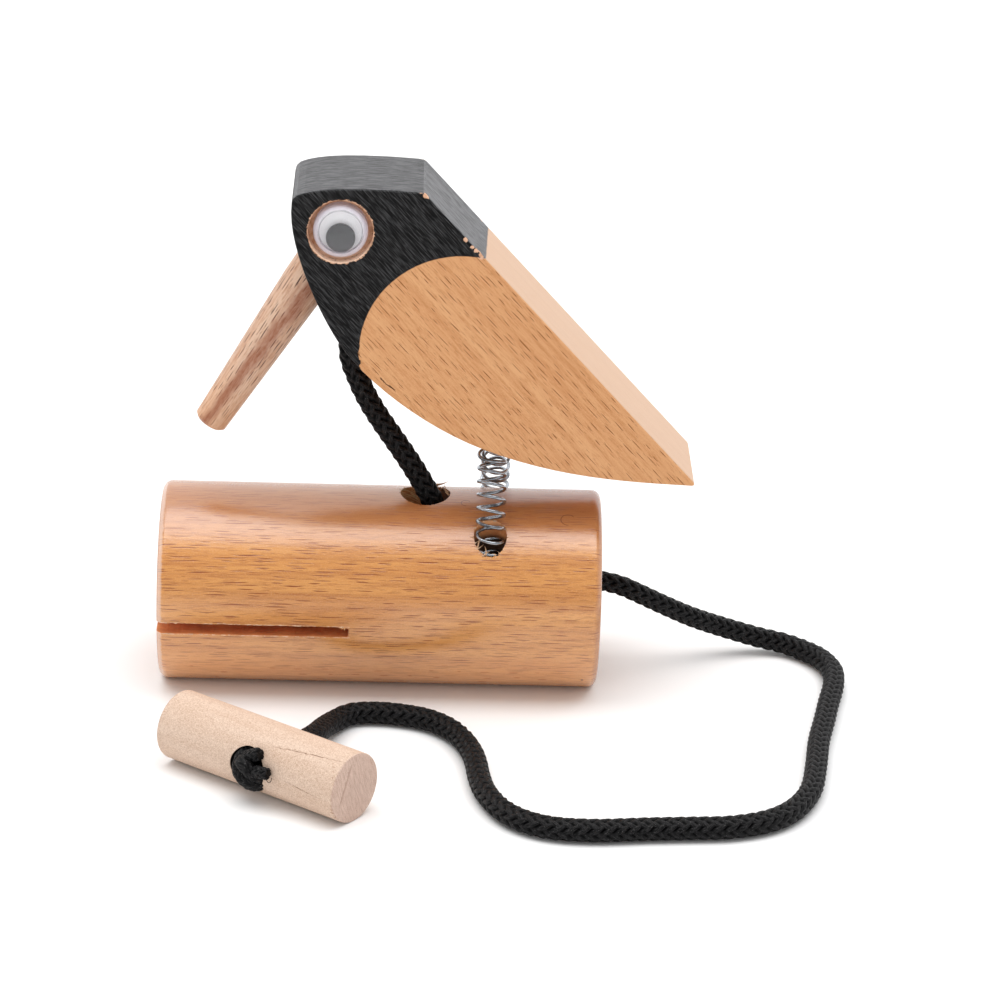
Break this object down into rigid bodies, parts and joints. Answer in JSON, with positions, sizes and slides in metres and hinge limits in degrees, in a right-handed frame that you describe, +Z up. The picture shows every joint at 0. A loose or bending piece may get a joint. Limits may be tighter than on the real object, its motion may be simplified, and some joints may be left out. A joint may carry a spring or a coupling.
{
  "type": "woodpecker rhythm shaker",
  "caption": "Wooden woodpecker on coil springs over a slit log drum; pulling the corded handle tips the bird so that its beak strikes the log.",
  "frame": {"origin": "middle of the flat under the log, on the surface that the log rests on", "axes": "+X along the log from the sounding end to the cord end, +Z up, -Y towards the front, where the cord and its handle lie"},
  "size_m": [0.1566, 0.1114, 0.1189],
  "materials": {
    "lacquered_beech": "semi-gloss lacquer over orange-tan beech with fine dark flecks",
    "painted_beech": "satin beech, with a matt black painted head",
    "beak_beech": "bare pinkish beech dowel",
    "handle_maple": "bare pale dowel",
    "spring_steel": "bright drawn wire",
    "black_cord": "braided polyester with a faint sheen",
    "clear_plastic": "clear gloss",
    "white_plastic": "white backing",
    "pupil_grey": "dark grey disc"
  },
  "bodies": {
    "base": {"log": "lacquered_beech", "spring_front": "spring_steel", "spring_rear": "spring_steel"},
    "bird": {"bird_body": "painted_beech", "beak": "beak_beech", "eye_backing_front": "white_plastic", "eye_backing_rear": "white_plastic", "eye_dome_front": "clear_plastic", "eye_dome_rear": "clear_plastic", "cord_upper": "black_cord"},
    "pull": {"cord_tail": "black_cord", "cord_knot": "black_cord", "pull_handle": "handle_maple"},
    "front_pupil": {"pupil_front": "pupil_grey"},
    "rear_pupil": {"pupil_rear": "pupil_grey"}
  },
  "joints": [
    {"name": "bird_peck", "type": "hinge", "parent": "base", "child": "bird", "pos_m": [0.0251, 0, 0.04853], "axis": [0, 1, 0], "range_deg": [-12.8, 8], "stiffness_Nm_per_rad": 0.15, "springref_deg": 1.59, "deforming": ["spring_front", "spring_rear", "cord_upper"]},
    {"name": "cord_pull", "type": "slide", "parent": "base", "child": "pull", "axis": [1, 0, 0], "range_m": [-0.0024, 0.0038]},
    {"name": "front_pupil_roll", "type": "hinge", "parent": "bird", "child": "front_pupil", "pos_m": [-0.0101, -0.0116, 0.109], "axis": [0, 1, 0], "continuous": true},
    {"name": "rear_pupil_roll", "type": "hinge", "parent": "bird", "child": "rear_pupil", "pos_m": [-0.0101, 0.0116, 0.109], "axis": [0, 1, 0], "continuous": true}
  ],
  "couplings": [
    {"joint": "cord_pull", "follows": "bird_peck", "m_per_rad": -0.0166}
  ]
}
